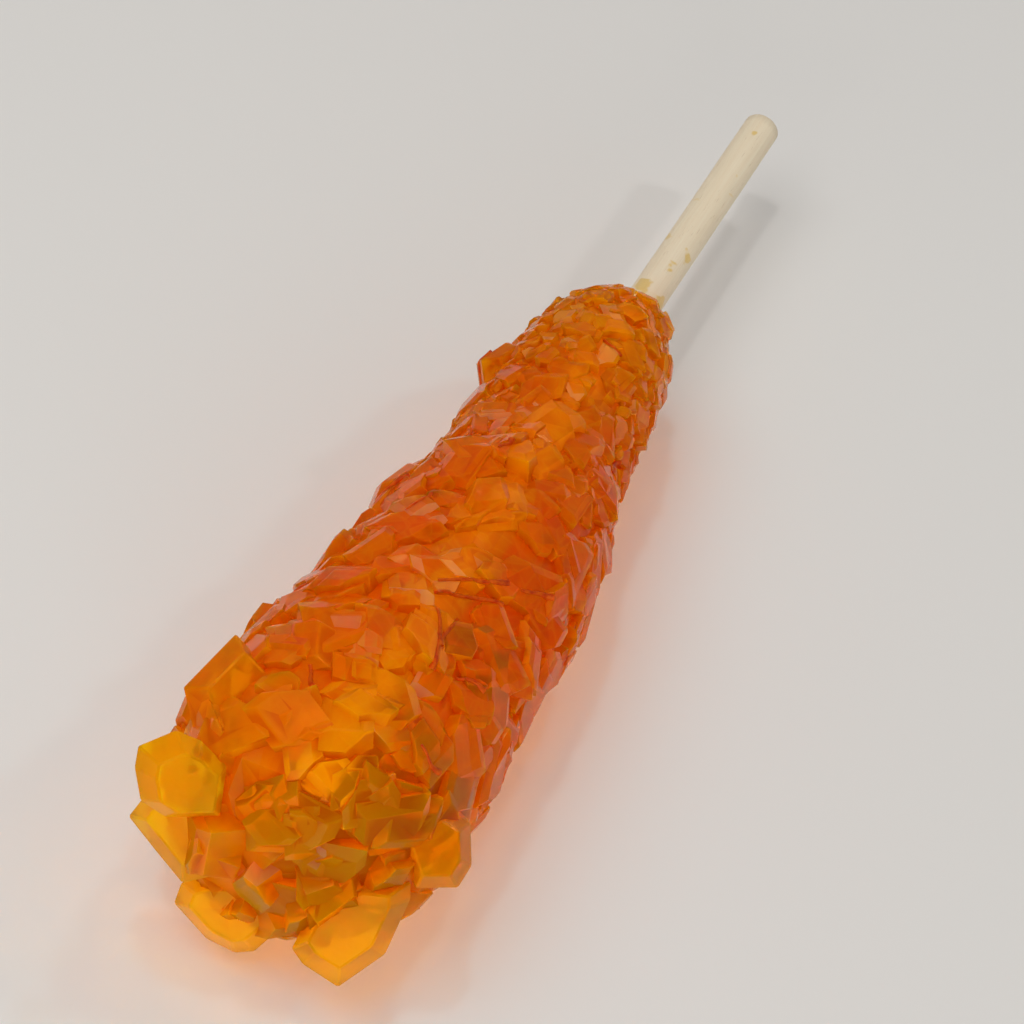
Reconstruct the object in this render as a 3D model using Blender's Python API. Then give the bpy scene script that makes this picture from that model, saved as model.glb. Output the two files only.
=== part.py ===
"""A rock candy stick lying on its side: sugar crystals grown on a round wooden stick.

The candy is one closed solid, a lumpy core with crystals of many sizes fused to it.
The stick is a second solid, which runs through most of the candy and is bare at one end.

Frame: metres. The floor is z = 0 and the origin is the middle of the footprint.
+X runs along the stick, from the candy's broad end to the stick's bare end.
Everything is shaped in the stick's own frame first, with x = 0 at the candy's broad end
and the stick's line along X, and is then laid down by one empty.
"""
import math
import random

import bmesh
import bpy
from mathutils import Matrix, Vector

MM = 0.001
SEED = 11

# The stick
STICK_RADIUS = 2.0 * MM
STICK_BARE = 37.0 * MM      # the handle, from the candy's narrow end outwards
STICK_EMBEDDED = 75.0 * MM  # the length that the candy hides
STICK_SIDES = 24
STICK_CHAMFER = 0.25 * MM
CLEARANCE = 0.3 * MM        # between the wood and the candy around it

# The candy's outline: distance from its broad end, radius, drift of its middle to +Y
OUTLINE = (
    (0.0 * MM, 8.5 * MM, 0.0 * MM),
    (6.0 * MM, 14.0 * MM, 0.0 * MM),
    (14.0 * MM, 15.0 * MM, 0.0 * MM),
    (22.0 * MM, 14.4 * MM, -0.2 * MM),
    (31.0 * MM, 13.3 * MM, -1.0 * MM),
    (42.0 * MM, 13.0 * MM, -1.2 * MM),
    (51.0 * MM, 11.8 * MM, -1.3 * MM),
    (58.0 * MM, 9.7 * MM, -1.1 * MM),
    (70.0 * MM, 9.5 * MM, 0.5 * MM),
    (79.0 * MM, 8.4 * MM, 0.5 * MM),
    (87.0 * MM, 4.6 * MM, 0.2 * MM),
)
CANDY_LENGTH = OUTLINE[-1][0]

# The core under the crystals
CORE_START = 3.0 * MM       # from the broad end, where the large crystals take over
CORE_STOP = 2.0 * MM        # short of the narrow end
CORE_RINGS = 17
CORE_SIDES = 14
CORE_DEPTH = 0.38           # of the core under the outline, in crystal lengths

# The crystals: distance from the broad end, length of a crystal there
CRYSTAL_LENGTHS = (
    (0.0 * MM, 8.4 * MM),
    (18.0 * MM, 7.6 * MM),
    (50.0 * MM, 6.8 * MM),
    (60.0 * MM, 5.4 * MM),
    (87.0 * MM, 4.6 * MM),
)
FIRST_RING = 12.5 * MM      # where the rings of crystals begin
LAST_RING = CANDY_LENGTH - 1.0 * MM
RING_SPACING = 0.86         # from ring to ring, in crystal lengths
CRYSTAL_SPACING = 0.94      # from crystal to crystal round a ring, in crystal lengths
FEWEST_ROUND = 5            # crystals in a ring
CRYSTAL_DEPTH = 0.40        # of a crystal's centre under the outline, in crystal lengths
LENGTH_SPREAD = 0.28        # how much longer or shorter than its neighbours
PLACE_SPREAD = 0.3          # how far a crystal strays from its ring, in crystal lengths
ANGLE_SPREAD = 0.2          # how far it strays round the ring, in spacings
TILT_SPREAD = math.radians(38)

# A crystal's habit: its other sizes as shares of its length, and where its corners
# are cut off
WIDTH_SHARE = (0.66, 0.86)
THICKNESS_SHARE = (0.42, 0.60)
FLANK_LEAN = (math.radians(8), math.radians(16))
FLANK_CUT = (0.40, 0.46)    # of the width
BEVEL_ANGLE = math.radians(52)
BEVEL_CUT = (0.27, 0.31)    # of the width and thickness together
WEDGE_ANGLE = math.radians(34)
WEDGE_RISE = 0.18
WEDGE_CUT = (0.40, 0.47)    # of the length

# The large clear crystals of the broad end: centre, and length, in millimetres
END_CRYSTALS = (
    (3.5, 10.5, 2.0, 8.4),
    (2.5, 9.0, -5.0, 9.0),
    (1.5, 2.0, -9.5, 10.5),
    (4.5, -8.0, -9.0, 12.0),
    (13.0, -11.5, -6.0, 8.6),
    (6.0, -9.5, 6.0, 9.5),
    (2.5, -4.5, 5.0, 9.0),
    (2.0, 2.5, 4.0, 9.0),
    (6.0, 3.0, 10.0, 9.0),
    (1.5, -3.0, -3.0, 9.0),
    (8.5, 9.5, 7.5, 8.6),
    (9.0, 10.0, -7.5, 8.6),
    (4.0, 6.0, -8.5, 9.0),
)
END_MIDDLE = Vector((11.0 * MM, 0, 0))  # the point that they stand out from
END_TILT_SPREAD = math.radians(23)

# The pose: the candy lies on its broad half, on small flats
AXIS_HEIGHT = 13.7 * MM     # of the stick's line above the floor, at the broad end
AXIS_DROP = math.radians(1.6)
FLOOR_CUT_DEPTH = 20.0 * MM

FINE = 0.01 * MM            # edges shorter than this are closed up


def between(stations, distance):
    """The values at a distance, eased between the stations on either side of it."""
    if distance <= stations[0][0]:
        return stations[0][1:]
    for low, high in zip(stations, stations[1:]):
        if distance <= high[0]:
            part = (distance - low[0]) / (high[0] - low[0])
            ease = part * part * (3 - 2 * part)
            return tuple(a + (b - a) * ease for a, b in zip(low[1:], high[1:]))
    return stations[-1][1:]


def crystal_length(distance):
    return between(CRYSTAL_LENGTHS, distance)[0]


def outline_slope(distance):
    """How much the outline's radius grows with each metre along the stick."""
    ahead = between(OUTLINE, distance + MM)[0]
    behind = between(OUTLINE, distance - MM)[0]
    return (ahead - behind) / (2 * MM)


def principled(name, colour, roughness, transmission=0.0):
    material = bpy.data.materials.new(name)
    material.use_nodes = True
    shader = material.node_tree.nodes["Principled BSDF"]
    shader.inputs["Base Color"].default_value = (*colour, 1.0)
    shader.inputs["Roughness"].default_value = roughness
    shader.inputs["Metallic"].default_value = 0.0
    shader.inputs["Transmission Weight"].default_value = transmission
    material.diffuse_color = (*colour, 1.0)
    return material


def add_object(name, bm, parent):
    mesh = bpy.data.meshes.new(name)
    bm.to_mesh(mesh)
    bm.free()
    thing = bpy.data.objects.new(name, mesh)
    bpy.context.scene.collection.objects.link(thing)
    thing.parent = parent
    return thing


def slice_off(bm, normal, distance):
    """Cuts away what lies past a plane and closes the cut."""
    everything = bm.verts[:] + bm.edges[:] + bm.faces[:]
    cut = bmesh.ops.bisect_plane(
        bm, geom=everything, plane_co=normal * distance, plane_no=normal, clear_outer=True
    )
    rim = [part for part in cut["geom_cut"] if isinstance(part, bmesh.types.BMEdge)]
    if rim:
        bmesh.ops.edgeloop_fill(bm, edges=rim)


def sugar_crystal(rng, length):
    """A closed block in sugar's own habit: a slab with leaning flanks, one pair of
    bevels and wedge ends, long along X and thin along Z."""
    width = length * rng.uniform(*WIDTH_SHARE)
    thickness = length * rng.uniform(*THICKNESS_SHARE)
    bm = bmesh.new()
    bmesh.ops.create_cube(bm, size=1.0, matrix=Matrix.Diagonal((length, width, thickness, 1)))
    lean = rng.uniform(*FLANK_LEAN)
    flank = Vector((0, math.cos(lean), math.sin(lean)))
    bevel = Vector((0, -math.sin(BEVEL_ANGLE), math.cos(BEVEL_ANGLE)))
    for side in (1, -1):
        wedge_side = side * rng.choice((1, -1))
        wedge = Vector((
            side * math.cos(WEDGE_ANGLE), wedge_side * math.sin(WEDGE_ANGLE), WEDGE_RISE
        ))
        slice_off(bm, flank * side, width * rng.uniform(*FLANK_CUT))
        slice_off(bm, bevel * side, (width + thickness) * rng.uniform(*BEVEL_CUT))
        slice_off(bm, wedge.normalized(), length * rng.uniform(*WEDGE_CUT))
    return bm


def place_crystal(growth, rng, centre, outward, length, tilt_spread):
    """Adds one crystal to the growth, lying near flush with the surface it grew on."""
    block = sugar_crystal(rng, length)
    flush = outward.to_track_quat("Z", "Y").to_matrix().to_4x4()
    spin = Matrix.Rotation(rng.uniform(0, math.tau), 4, "Z")
    hinge = rng.uniform(0, math.tau)
    hinge_line = Vector((math.cos(hinge), math.sin(hinge), 0))
    tilt = Matrix.Rotation(rng.uniform(-tilt_spread, tilt_spread), 4, hinge_line)
    block.transform(Matrix.Translation(centre) @ flush @ tilt @ spin)
    mesh = bpy.data.meshes.new("block")
    block.to_mesh(mesh)
    block.free()
    growth.from_mesh(mesh)
    bpy.data.meshes.remove(mesh)


def grow_broad_end(growth, rng):
    """The large crystals that stand out round the broad end."""
    for x, y, z, length in END_CRYSTALS:
        centre = Vector((x, y, z)) * MM
        outward = (centre - END_MIDDLE).normalized()
        place_crystal(growth, rng, centre, outward, length * MM, END_TILT_SPREAD)


def grow_rings(growth, rng):
    """Covers the candy's flank with rings of crystals, which get finer along it."""
    distance = FIRST_RING
    while distance < LAST_RING:
        usual = crystal_length(distance)
        around = math.tau * between(OUTLINE, distance)[0]
        count = max(FEWEST_ROUND, round(around / (usual * CRYSTAL_SPACING)))
        phase = rng.random()
        for index in range(count):
            stray = rng.uniform(-ANGLE_SPREAD, ANGLE_SPREAD)
            angle = math.tau * (index + phase + stray) / count
            along = distance + usual * rng.uniform(-PLACE_SPREAD, PLACE_SPREAD)
            length = usual * (1 + rng.uniform(-LENGTH_SPREAD, LENGTH_SPREAD))
            radius, drift = between(OUTLINE, along)
            reach = radius - length * CRYSTAL_DEPTH
            centre = Vector((along, drift + reach * math.cos(angle), reach * math.sin(angle)))
            outward = Vector((-outline_slope(along), math.cos(angle), math.sin(angle)))
            place_crystal(growth, rng, centre, outward.normalized(), length, TILT_SPREAD)
        distance += usual * RING_SPACING


def make_growth(parent):
    """All the crystals in one mesh, each still a block of its own."""
    rng = random.Random(SEED)
    growth = bmesh.new()
    grow_broad_end(growth, rng)
    grow_rings(growth, rng)
    return add_object("crystal_growth", growth, parent)


def make_core(parent):
    """A lofted lump under the crystals, closed at both ends."""
    bm = bmesh.new()
    step = (CANDY_LENGTH - CORE_STOP - CORE_START) / (CORE_RINGS - 1)
    rings = []
    for ring_index in range(CORE_RINGS):
        distance = CORE_START + ring_index * step
        radius, drift = between(OUTLINE, distance)
        radius -= crystal_length(distance) * CORE_DEPTH
        ring = []
        for index in range(CORE_SIDES):
            angle = math.tau * index / CORE_SIDES
            y = drift + radius * math.cos(angle)
            ring.append(bm.verts.new((distance, y, radius * math.sin(angle))))
        rings.append(ring)
    for low, high in zip(rings, rings[1:]):
        for index in range(CORE_SIDES):
            after = (index + 1) % CORE_SIDES
            bm.faces.new((low[index], low[after], high[after], high[index]))
    bm.faces.new(rings[0])
    bm.faces.new(rings[-1])
    bmesh.ops.recalc_face_normals(bm, faces=bm.faces[:])
    return add_object("candy", bm, parent)


def round_bar(start, stop, radius):
    """A closed cylinder along X between two distances."""
    bm = bmesh.new()
    middle = Matrix.Translation(((start + stop) / 2, 0, 0))
    bmesh.ops.create_cone(
        bm,
        cap_ends=True,
        segments=STICK_SIDES,
        radius1=radius,
        radius2=radius,
        depth=stop - start,
        matrix=middle @ Matrix.Rotation(math.pi / 2, 4, "Y"),
    )
    return bm


def make_stick(parent):
    bar = round_bar(CANDY_LENGTH - STICK_EMBEDDED, CANDY_LENGTH + STICK_BARE, STICK_RADIUS)
    stick = add_object("stick", bar, parent)
    chamfer = stick.modifiers.new("softened ends", "BEVEL")
    chamfer.width = STICK_CHAMFER
    chamfer.segments = 1
    chamfer.limit_method = "ANGLE"
    chamfer.angle_limit = math.radians(60)
    stick.data.shade_smooth()
    stick.data.set_sharp_from_angle(angle=math.radians(35))
    return stick


def make_bore(parent):
    """What the stick takes out of the candy, open at the narrow end."""
    start = CANDY_LENGTH - STICK_EMBEDDED - CLEARANCE
    bar = round_bar(start, CANDY_LENGTH + STICK_BARE, STICK_RADIUS + CLEARANCE)
    return add_object("bore", bar, parent)


def make_below_floor(parent):
    """A slab under the floor, turned back so that it stays level once laid down."""
    bm = bmesh.new()
    size = Matrix.Diagonal((2 * CANDY_LENGTH, CANDY_LENGTH, FLOOR_CUT_DEPTH, 1))
    place = Matrix.Translation((CANDY_LENGTH / 2, 0, -AXIS_HEIGHT - FLOOR_CUT_DEPTH / 2))
    level = Matrix.Rotation(-AXIS_DROP, 4, "Y")
    bmesh.ops.create_cube(bm, size=1.0, matrix=level @ place @ size)
    return add_object("below_floor", bm, parent)


def add_boolean(thing, operation, other):
    modifier = thing.modifiers.new(other.name, "BOOLEAN")
    modifier.operation = operation
    modifier.object = other
    modifier.solver = "EXACT"
    modifier.use_self = operation == "UNION"
    other.hide_render = True
    other.display_type = "WIRE"


def apply_booleans(thing, others):
    """Turns the object's modifiers into its mesh and takes the others away."""
    bpy.context.view_layer.update()
    graph = bpy.context.evaluated_depsgraph_get()
    mesh = bpy.data.meshes.new_from_object(thing.evaluated_get(graph))
    thing.modifiers.clear()
    thing.data = mesh
    for other in others:
        bpy.data.objects.remove(other, do_unlink=True)


def split_skins(bm):
    """The closed skins of a mesh, as lists of faces, the largest last."""
    waiting = set(bm.faces)
    skins = []
    for first in bm.faces:
        if first not in waiting:
            continue
        waiting.remove(first)
        skin = [first]
        for face in skin:
            for edge in face.edges:
                fresh = [other for other in edge.link_faces if other in waiting]
                waiting.difference_update(fresh)
                skin.extend(fresh)
        skins.append(skin)
    skins.sort(key=lambda skin: sum(face.calc_area() for face in skin))
    return skins


def keep_outer_skin(mesh):
    """Fills the pockets that crystals close in between them, and closes up slivers."""
    bm = bmesh.new()
    bm.from_mesh(mesh)
    pockets = [face for skin in split_skins(bm)[:-1] for face in skin]
    bmesh.ops.delete(bm, geom=pockets, context="FACES")
    bmesh.ops.remove_doubles(bm, verts=bm.verts[:], dist=FINE)
    bmesh.ops.dissolve_degenerate(bm, edges=bm.edges[:], dist=FINE)
    loose = [edge for edge in bm.edges if not edge.link_faces]
    bmesh.ops.delete(bm, geom=loose, context="EDGES")
    bm.to_mesh(mesh)
    bm.free()


def make_candy(parent):
    candy = make_core(parent)
    growth = make_growth(parent)
    bore = make_bore(parent)
    below_floor = make_below_floor(parent)
    add_boolean(candy, "UNION", growth)
    add_boolean(candy, "DIFFERENCE", bore)
    add_boolean(candy, "DIFFERENCE", below_floor)
    apply_booleans(candy, (growth, bore, below_floor))
    keep_outer_skin(candy.data)
    return candy


def lay_down(whole, pieces):
    """Tilts the whole onto the floor and moves the middle of its footprint to the origin."""
    whole.rotation_euler.y = AXIS_DROP
    bpy.context.view_layer.update()
    graph = bpy.context.evaluated_depsgraph_get()
    corners = []
    for piece in pieces:
        shape = piece.evaluated_get(graph)
        mesh = shape.to_mesh()
        corners += [shape.matrix_world @ vertex.co for vertex in mesh.vertices]
        shape.to_mesh_clear()
    low = [min(corner[axis] for corner in corners) for axis in range(3)]
    high = [max(corner[axis] for corner in corners) for axis in range(3)]
    whole.location = (-(low[0] + high[0]) / 2, -(low[1] + high[1]) / 2, -low[2])


def main():
    for thing in list(bpy.data.objects):
        bpy.data.objects.remove(thing, do_unlink=True)
    whole = bpy.data.objects.new("rock_candy_stick", None)
    bpy.context.scene.collection.objects.link(whole)
    candy = make_candy(whole)
    stick = make_stick(whole)
    candy.data.materials.clear()
    candy.data.materials.append(principled("candy", (0.54, 0.112, 0.002), 0.2, 0.3))
    stick.data.materials.append(principled("wood", (0.79, 0.59, 0.38), 0.6))
    lay_down(whole, (candy, stick))


main()
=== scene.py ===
"""A rock candy stick: clear amber sugar crystals grown on a round wooden stick.

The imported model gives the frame. The candy's solid is the ground that finer flushes of
crystals grow on here, and the wooden stick, the saffron threads and the sugar that climbs
the wood are modelled around it. +X runs along the stick to its bare end; z = 0 is the table.
"""
import math
import random

import bmesh
import bpy
from mathutils import Matrix, Vector, noise
from mathutils.bvhtree import BVHTree


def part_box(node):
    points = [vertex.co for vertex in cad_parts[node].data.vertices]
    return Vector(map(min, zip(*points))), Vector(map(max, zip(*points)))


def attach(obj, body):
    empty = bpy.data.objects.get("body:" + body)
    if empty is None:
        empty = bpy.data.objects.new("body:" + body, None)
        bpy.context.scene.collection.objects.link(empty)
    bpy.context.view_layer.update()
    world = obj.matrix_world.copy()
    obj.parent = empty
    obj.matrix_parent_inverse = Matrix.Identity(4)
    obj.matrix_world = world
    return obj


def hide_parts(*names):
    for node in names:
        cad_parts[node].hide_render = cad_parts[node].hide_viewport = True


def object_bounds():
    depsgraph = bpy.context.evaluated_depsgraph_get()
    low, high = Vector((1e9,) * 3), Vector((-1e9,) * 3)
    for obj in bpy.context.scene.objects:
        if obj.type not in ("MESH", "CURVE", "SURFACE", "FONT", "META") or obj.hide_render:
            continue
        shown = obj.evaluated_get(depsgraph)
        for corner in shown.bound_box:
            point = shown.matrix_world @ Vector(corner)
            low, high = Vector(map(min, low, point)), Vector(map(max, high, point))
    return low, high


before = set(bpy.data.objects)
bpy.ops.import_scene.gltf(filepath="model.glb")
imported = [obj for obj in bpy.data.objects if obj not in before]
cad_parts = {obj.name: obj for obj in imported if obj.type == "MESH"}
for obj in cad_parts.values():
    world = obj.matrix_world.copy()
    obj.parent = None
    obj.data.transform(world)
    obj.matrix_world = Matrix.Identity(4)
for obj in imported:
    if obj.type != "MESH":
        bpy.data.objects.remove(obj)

MM = 0.001
CAD_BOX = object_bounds()
CANDY_LOW, CANDY_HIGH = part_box("candy")
STICK_LOW, STICK_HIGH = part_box("stick")

# The stick's line, worked out from its box: it drops a little towards the bare end
STICK_RADIUS = (STICK_HIGH.y - STICK_LOW.y) / 2
STICK_MIDDLE = (STICK_HIGH.y + STICK_LOW.y) / 2
STICK_START = Vector((STICK_LOW.x, STICK_MIDDLE, STICK_HIGH.z - STICK_RADIUS))
STICK_END = Vector((STICK_HIGH.x, STICK_MIDDLE, STICK_LOW.z + STICK_RADIUS))
STICK_WAY = (STICK_END - STICK_START).normalized()
STICK_LENGTH = (STICK_END - STICK_START).length
NECK = CANDY_HIGH.x                     # where the wood comes out of the sugar
CANDY_LENGTH = CANDY_HIGH.x - CANDY_LOW.x

# The camera: where it stands as seen from the middle of the whole, in degrees and metres,
# and the point that it is aimed at
VIEW_AZIMUTH = -75.6
VIEW_ELEVATION = 45.0
VIEW_DISTANCE = 0.414
VIEW_ROLL = 13.5
VIEW_LENS = 146.0
VIEW_AIM = Vector((-4.0 * MM, 0.0, 9.0 * MM))


# ---------------------------------------------------------------- small helpers

def link(thing):
    bpy.context.scene.collection.objects.link(thing)
    return thing


def mesh_object(name, mesh):
    return link(bpy.data.objects.new(name, mesh))


def bmesh_object(name, bm):
    mesh = bpy.data.meshes.new(name)
    bm.to_mesh(mesh)
    bm.free()
    return mesh_object(name, mesh)


def remove(*things):
    for thing in things:
        bpy.data.objects.remove(thing, do_unlink=True)


def along_candy(share):
    """The x of a place along the candy, from 0 at its broad end to 1 at its neck."""
    return CANDY_LOW.x + CANDY_LENGTH * share


def stick_line(x):
    """The point of the stick's line at an x."""
    return STICK_START + STICK_WAY * ((x - STICK_START.x) / STICK_WAY.x)


def outwards(angle):
    """The way out from the stick's line at an angle from the level."""
    return Vector((0, math.cos(angle), math.sin(angle)))


def between(stations, place):
    """The value at a place, eased between the stations on either side of it."""
    for (low, before), (high, after) in zip(stations, stations[1:]):
        if place <= high:
            part = max(0.0, (place - low) / (high - low))
            return before + (after - before) * part * part * (3 - 2 * part)
    return stations[-1][1]


def bridge(bm, low, high):
    """A band of faces between two rings of vertices."""
    band = []
    for side in range(len(low)):
        after = (side + 1) % len(low)
        band.append(bm.faces.new((low[side], low[after], high[after], high[side])))
    return band


def close_ring(bm, ring, place):
    """Closes a ring of vertices with a fan round a point."""
    tip = bm.verts.new(place)
    for side, corner in enumerate(ring):
        bm.faces.new((corner, ring[(side + 1) % len(ring)], tip))


def surface_tree(mesh):
    corners = [vertex.co for vertex in mesh.vertices]
    return BVHTree.FromPolygons(corners, [face.vertices for face in mesh.polygons])


def back_vector(azimuth, elevation):
    """From what is looked at towards the camera."""
    a = math.radians(azimuth)
    e = math.radians(elevation)
    return Vector((math.sin(a) * math.cos(e), -math.cos(a) * math.cos(e), math.sin(e)))


class Tree:
    """A node tree with short ways to add and link its nodes."""

    def __init__(self, tree):
        self.tree = tree

    def node(self, kind, inputs=None, **settings):
        made = self.tree.nodes.new(kind)
        for name, value in settings.items():
            setattr(made, name, value)
        for name, value in (inputs or {}).items():
            self.feed(made.inputs[name], value)
        return made

    def feed(self, socket, value):
        if isinstance(value, bpy.types.NodeSocket):
            self.tree.links.new(value, socket)
        else:
            socket.default_value = value

    def maths(self, operation, *values, clamp=False):
        made = self.tree.nodes.new("ShaderNodeMath")
        made.operation = operation
        made.use_clamp = clamp
        for socket, value in zip(made.inputs, values):
            self.feed(socket, value)
        return made.outputs[0]

    def scaled(self, vector, factor):
        made = self.node("ShaderNodeVectorMath", operation="SCALE")
        self.feed(made.inputs[0], vector)
        self.feed(made.inputs["Scale"], factor)
        return made.outputs[0]

    def first_axis(self, vector):
        return self.node("ShaderNodeSeparateXYZ", {"Vector": vector}).outputs["X"]

    def given(self, name, kind, default=None):
        """Adds a named input to the group."""
        socket = self.tree.interface.new_socket(name, in_out="INPUT", socket_type=kind)
        if default is not None:
            socket.default_value = default

    def gives(self, name, kind):
        """Adds a named output to the group."""
        self.tree.interface.new_socket(name, in_out="OUTPUT", socket_type=kind)

    def put_out(self, geometry):
        self.feed(self.node("NodeGroupOutput").inputs[0], geometry)

    def put_out_as(self, geometry, material):
        """Ends a geometry tree with its material set."""
        made = self.node("GeometryNodeSetMaterial", {"Geometry": geometry, "Material": material})
        self.put_out(made.outputs[0])


def geometry_tree(name):
    tree = Tree(bpy.data.node_groups.new(name, "GeometryNodeTree"))
    tree.given("Geometry", "NodeSocketGeometry")
    tree.gives("Geometry", "NodeSocketGeometry")
    return tree


def grown_mesh(thing, tree, **values):
    """The plain mesh that a geometry tree makes of an object, with the tree's named inputs."""
    modifier = thing.modifiers.new(tree.tree.name, "NODES")
    modifier.node_group = tree.tree
    for item in tree.tree.interface.items_tree:
        if item.name in values:
            modifier[item.identifier] = values[item.name]
    bpy.context.view_layer.update()
    graph = bpy.context.evaluated_depsgraph_get()
    mesh = bpy.data.meshes.new_from_object(thing.evaluated_get(graph))
    thing.modifiers.clear()
    return mesh


# ---------------------------------------------------------------- crystals

# Every crystal is a block with a flat roof and shallow slopes down to its sides. Shares are
# of its length, angles are in degrees from level.
WIDTH_SHARE = (0.60, 0.90)
PLATE_THICKNESS = (0.30, 0.44)
BLOCK_THICKNESS = (0.60, 0.72)
ROOF_WIDTH = (0.40, 0.75)       # of the crystal's width
ROOF_LENGTH = (0.55, 0.80)
SIDE_SLOPE = (14, 32)
END_SLOPE = (18, 38)
CORNER_REACH = (0.36, 0.46)
CORNER_WAY = Vector((0.80, 0.58, 0.18))     # where the cuts at the corners face
EDGE_WIDTH = 0.016              # of the worn edges
WORN_ANGLE = 12                 # edges flatter than this stay sharp
WORN_LEAN = 0.1                 # of the faces beside a worn edge, the least rise of the normal
CRYSTAL_KINDS = 12
STANDING_DEPTH = 0.26           # how deep a crystal on end is set
# A growth step: how far it slides, its rise in thicknesses, its length and its flatness.
# Two in three lie on the upper face.
STEP_SHIFT = 0.20
STEP_RISE = (0.16, 0.32)
STEP_LENGTH = (0.60, 0.88)
STEP_FLATNESS = (0.6, 0.9)
STEP_FACES = (1, 1, -1)


def slice_off(bm, normal, distance):
    """Cuts away what lies past a plane and closes the cut."""
    everything = bm.verts[:] + bm.edges[:] + bm.faces[:]
    cut = bmesh.ops.bisect_plane(
        bm, geom=everything, plane_co=normal * distance, plane_no=normal, clear_outer=True
    )
    rim = [part for part in cut["geom_cut"] if isinstance(part, bmesh.types.BMEdge)]
    if rim:
        bmesh.ops.edgeloop_fill(bm, edges=rim)


class Habit:
    """The planes of one crystal, which all its growth steps share."""

    def __init__(self, rng, thickness_share):
        self.width = rng.uniform(*WIDTH_SHARE)
        self.thickness = rng.uniform(*thickness_share)
        top = self.thickness / 2
        self.planes = []
        for side in (1, -1):
            slope = math.radians(rng.uniform(*SIDE_SLOPE))
            normal = Vector((0, side * math.sin(slope), math.cos(slope)))
            ridge = Vector((0, side * self.width / 2 * rng.uniform(*ROOF_WIDTH), top))
            self.planes.append((normal, normal.dot(ridge)))
            slope = math.radians(rng.uniform(*END_SLOPE))
            normal = Vector((side * math.sin(slope), 0, math.cos(slope)))
            ridge = Vector((side / 2 * rng.uniform(*ROOF_LENGTH), 0, top))
            self.planes.append((normal, normal.dot(ridge)))
            turn = side * rng.choice((1, -1))
            corner = Vector((side * CORNER_WAY.x, turn * CORNER_WAY.y, CORNER_WAY.z))
            self.planes.append((corner.normalized(), rng.uniform(*CORNER_REACH)))

    def block(self, size, flatness, place):
        """A block with this habit, shrunk to a size and flattened."""
        bm = bmesh.new()
        box = Matrix.Diagonal((1, self.width, self.thickness, 1))
        bmesh.ops.create_cube(bm, size=1.0, matrix=box)
        for normal, distance in self.planes:
            slice_off(bm, normal, distance)
        shape = Matrix.Translation(place) @ Matrix.Diagonal((size, size, size * flatness, 1))
        bm.transform(shape)
        return bmesh_object("block", bm)


def union_of(blocks):
    """Fuses blocks into one closed mesh and takes them away."""
    whole = blocks[0]
    for block in blocks[1:]:
        joint = whole.modifiers.new("fuse", "BOOLEAN")
        joint.operation = "UNION"
        joint.solver = "MANIFOLD"
        joint.object = block
    graph = bpy.context.evaluated_depsgraph_get()
    mesh = bpy.data.meshes.new_from_object(whole.evaluated_get(graph))
    remove(*blocks)
    return mesh


def wear_edges(mesh, width):
    """Chamfers the edges of a crystal's upper faces."""
    bm = bmesh.new()
    bm.from_mesh(mesh)
    bmesh.ops.dissolve_limit(bm, angle_limit=math.radians(1), verts=bm.verts, edges=bm.edges)
    worn = [
        edge for edge in bm.edges
        if len(edge.link_faces) == 2
        and min(face.normal.z for face in edge.link_faces) > WORN_LEAN
        and edge.calc_face_angle_signed() > math.radians(WORN_ANGLE)
    ]
    bmesh.ops.bevel(bm, geom=worn, offset=width, segments=1, affect="EDGES", clamp_overlap=True)
    bm.to_mesh(mesh)
    bm.free()


def sugar_crystal(rng, thickness_share, steps):
    """A crystal of unit length: a block, long along X, with a few thinner growth steps slid
    over its broad faces, all with the same set of planes."""
    habit = Habit(rng, thickness_share)
    blocks = [habit.block(1.0, 1.0, Vector())]
    for index in range(steps):
        slide = Vector((rng.uniform(-1, 1), rng.uniform(-1, 1), 0)) * STEP_SHIFT
        slide.z = habit.thickness * rng.uniform(*STEP_RISE) * rng.choice(STEP_FACES)
        length = rng.uniform(*STEP_LENGTH)
        blocks.append(habit.block(length, rng.uniform(*STEP_FLATNESS), slide))
    return union_of(blocks)


# The kinds to grow from: name, seed, thicknesses, most growth steps, how many stand on end as
# a share of them, and how wide their worn edges are
KINDS = (
    ("plates", 5, PLATE_THICKNESS, 3, 0.0, EDGE_WIDTH),
    ("blocks", 6, BLOCK_THICKNESS, 1, 0.0, EDGE_WIDTH),
    ("grains", 7, BLOCK_THICKNESS, 0, 0.3, 0.0),
)


def make_kind(name, seed, thickness_share, most_steps, standing, edge_width):
    """A set of crystals, those that stand on end set a little deeper."""
    rng = random.Random(seed)
    kind = bpy.data.collections.new(name)
    on_end = Matrix.Translation((0, 0, -STANDING_DEPTH)) @ Matrix.Rotation(math.radians(90), 4, "Y")
    for index in range(CRYSTAL_KINDS):
        mesh = sugar_crystal(rng, thickness_share, rng.randint(0, most_steps))
        if edge_width:
            wear_edges(mesh, edge_width)
        if index < standing * CRYSTAL_KINDS:
            mesh.transform(on_end)
        mesh.name = "%s %d" % (name, index)
        kind.objects.link(bpy.data.objects.new(mesh.name, mesh))
    return kind


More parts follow.
